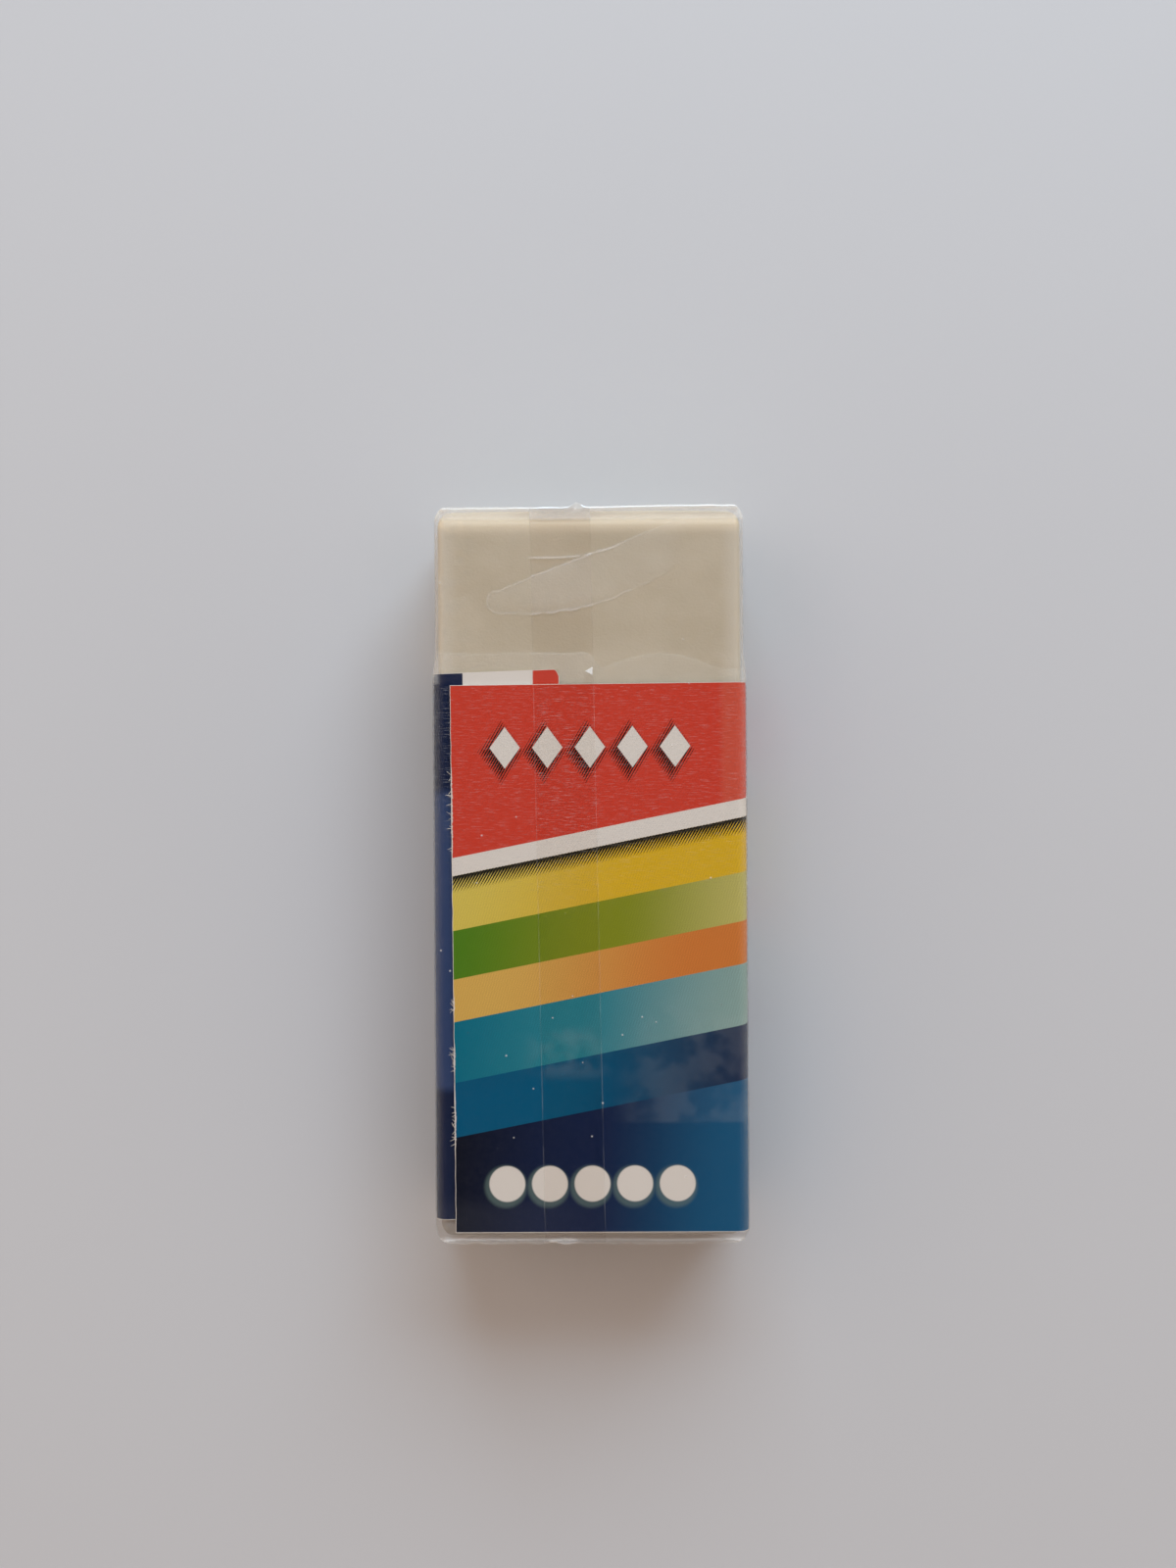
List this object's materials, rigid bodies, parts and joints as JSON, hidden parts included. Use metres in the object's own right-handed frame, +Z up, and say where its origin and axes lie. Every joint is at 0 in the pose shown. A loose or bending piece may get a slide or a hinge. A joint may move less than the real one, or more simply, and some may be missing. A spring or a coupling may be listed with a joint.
{
  "type": "rubber eraser",
  "caption": "Ivory rubber eraser block in a printed wraparound card sleeve with a glued lap, sealed in clear film with a lap seam along the front and folded ends.",
  "frame": {"origin": "under the middle of the wrapped eraser, on the surface it lies on", "axes": "+Z up out of the printed front panel, +Y along the length towards the bare end of the block, +X across the width towards the sleeve's right fold"},
  "size_m": [0.026, 0.061, 0.013],
  "materials": {
    "ivory_vinyl": "smooth matte vinyl",
    "printed_card": "gloss-coated print on white card",
    "clear_film": "clear gloss film"
  },
  "bodies": {
    "root": {"eraser_block": "ivory_vinyl", "card_sleeve": "printed_card", "clear_film": "clear_film"}
  },
  "joints": []
}
